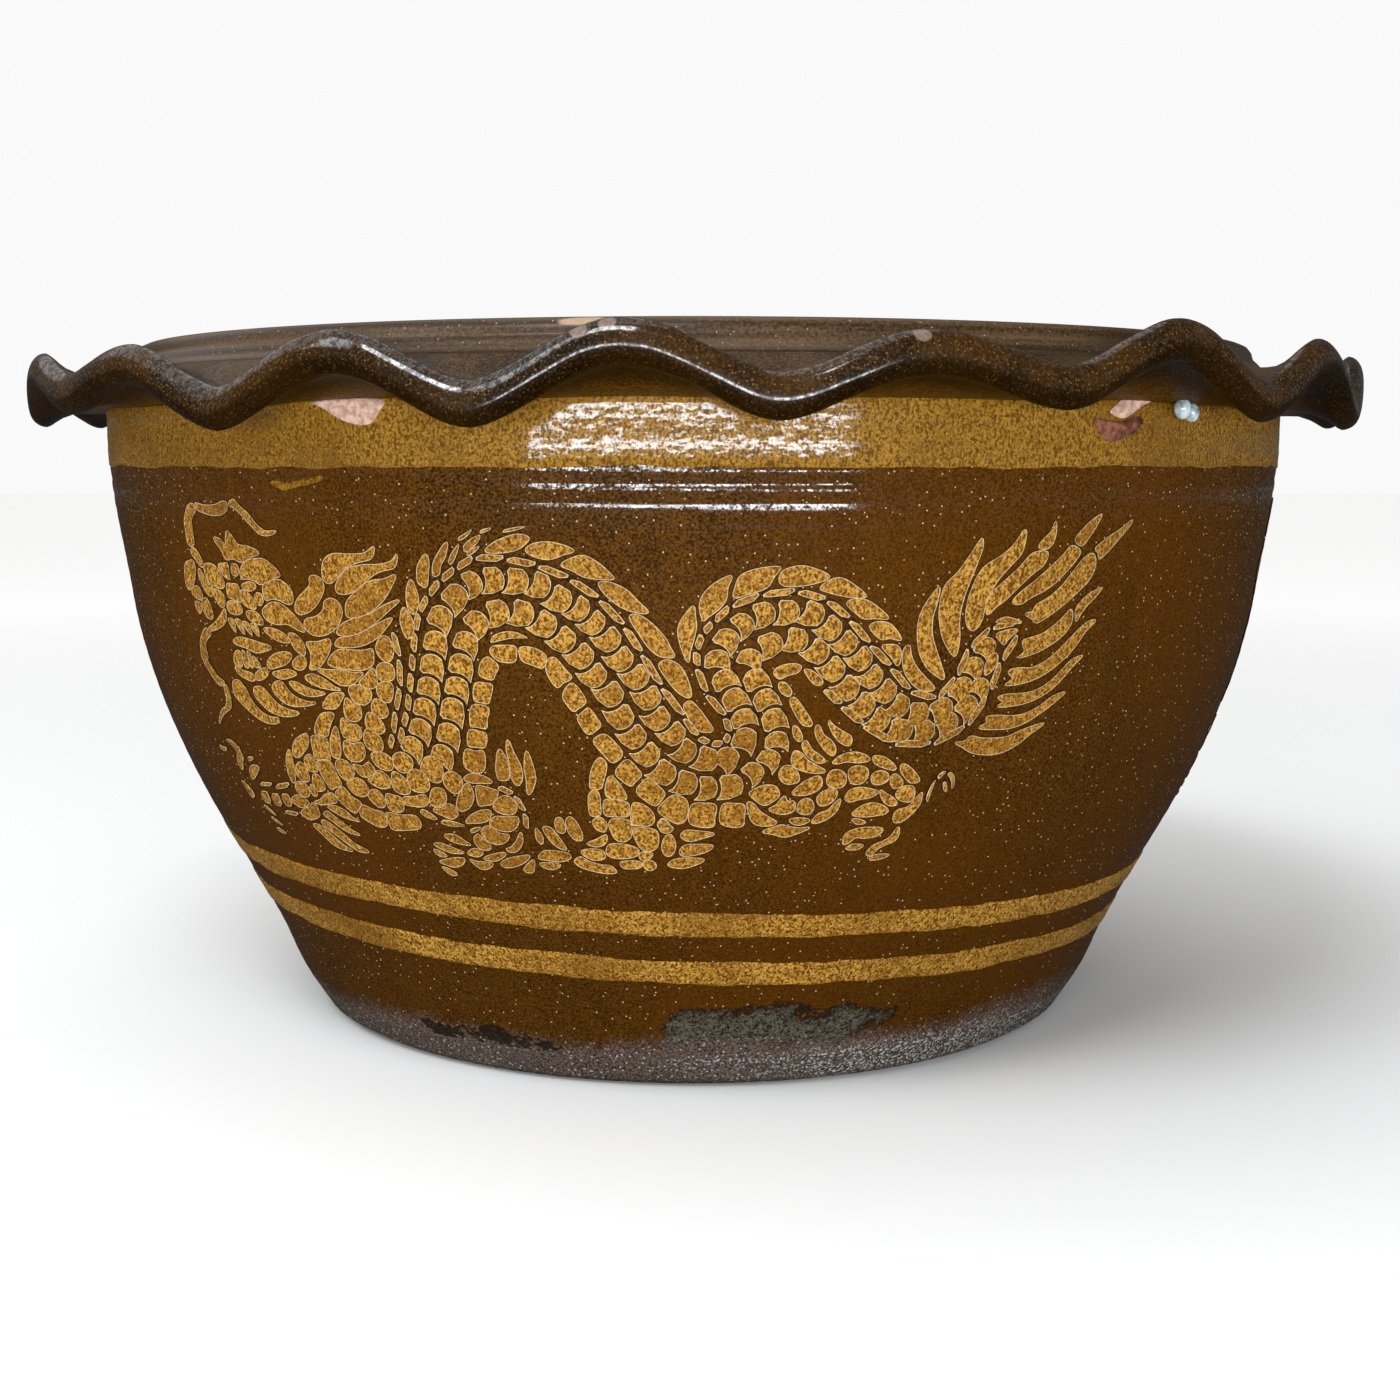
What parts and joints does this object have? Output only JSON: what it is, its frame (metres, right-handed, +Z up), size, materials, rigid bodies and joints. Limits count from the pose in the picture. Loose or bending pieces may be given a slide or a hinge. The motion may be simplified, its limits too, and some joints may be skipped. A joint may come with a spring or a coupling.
{
  "type": "wide stoneware water jar",
  "caption": "Wide low stoneware jar with a ruffled flange under an upright lip, dark brown glaze, mustard slip band and stripes, and raised slip dragons round the wall.",
  "frame": {"origin": "centre of the foot, on the ground", "axes": "+Z up along the jar's axis; the side with a whole dragon faces -Y"},
  "size_m": [0.6, 0.6, 0.298],
  "materials": {
    "bare_stoneware": "unglazed, worn",
    "brown_glaze": "glossy, finely speckled",
    "rim_glaze": "glossy, mottled",
    "mustard_slip": "glossy over mottled slip"
  },
  "bodies": {
    "root": {"floor_disc": "bare_stoneware", "lower_wall": "brown_glaze", "corner_coil": "brown_glaze", "upper_wall": "brown_glaze", "neck_collar": "brown_glaze", "ruffled_rim": "rim_glaze", "slip_band": "mustard_slip", "stripe_upper": "mustard_slip", "stripe_lower": "mustard_slip"}
  },
  "joints": []
}
